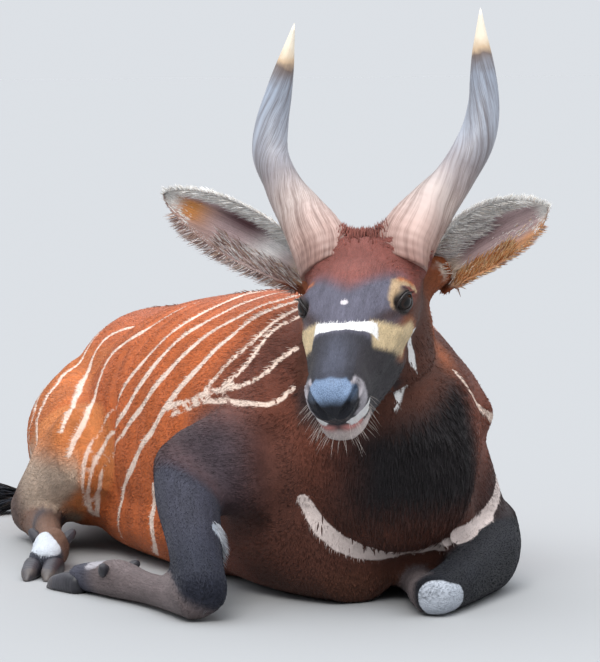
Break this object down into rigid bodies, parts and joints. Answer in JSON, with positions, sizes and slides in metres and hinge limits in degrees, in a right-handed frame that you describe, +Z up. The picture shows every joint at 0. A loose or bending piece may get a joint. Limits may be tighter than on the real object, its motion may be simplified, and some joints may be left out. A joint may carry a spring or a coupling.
{
  "type": "bongo",
  "caption": "Life-size still model of a bongo antelope lying on its chest with its legs folded and its horned head turned to one side.",
  "frame": {"origin": "middle of the model's box, on the floor it lies on", "axes": "+Z up from the floor, -Y the way the trunk faces, +X the animal's left"},
  "size_m": [0.8352, 1.5536, 0.8888],
  "materials": {
    "coat": "short chestnut hair with thin white stripes",
    "dark_coat": "long blue-black hair",
    "horn": "ribbed horn, satin, with an ivory tip",
    "hoof": "satin horn",
    "eye": "wet gloss"
  },
  "bodies": {
    "root": {"torso": "coat", "neck": "coat", "head": "coat", "tail": "coat", "foreleg_left": "coat", "foreleg_right": "coat", "forefoot_left": "coat", "forefoot_right": "coat", "hindleg_left": "coat", "hindleg_right": "coat", "hindfoot_left": "coat", "hindfoot_right": "coat", "ear_left": "coat", "ear_right": "coat", "tail_tuft": "dark_coat", "horn_left": "horn", "horn_right": "horn", "hoof_fore_left_a": "hoof", "hoof_fore_left_b": "hoof", "hoof_fore_right_a": "hoof", "hoof_fore_right_b": "hoof", "hoof_hind_left_a": "hoof", "hoof_hind_left_b": "hoof", "hoof_hind_right_a": "hoof", "hoof_hind_right_b": "hoof", "eye_left": "eye", "eye_right": "eye"}
  },
  "joints": []
}
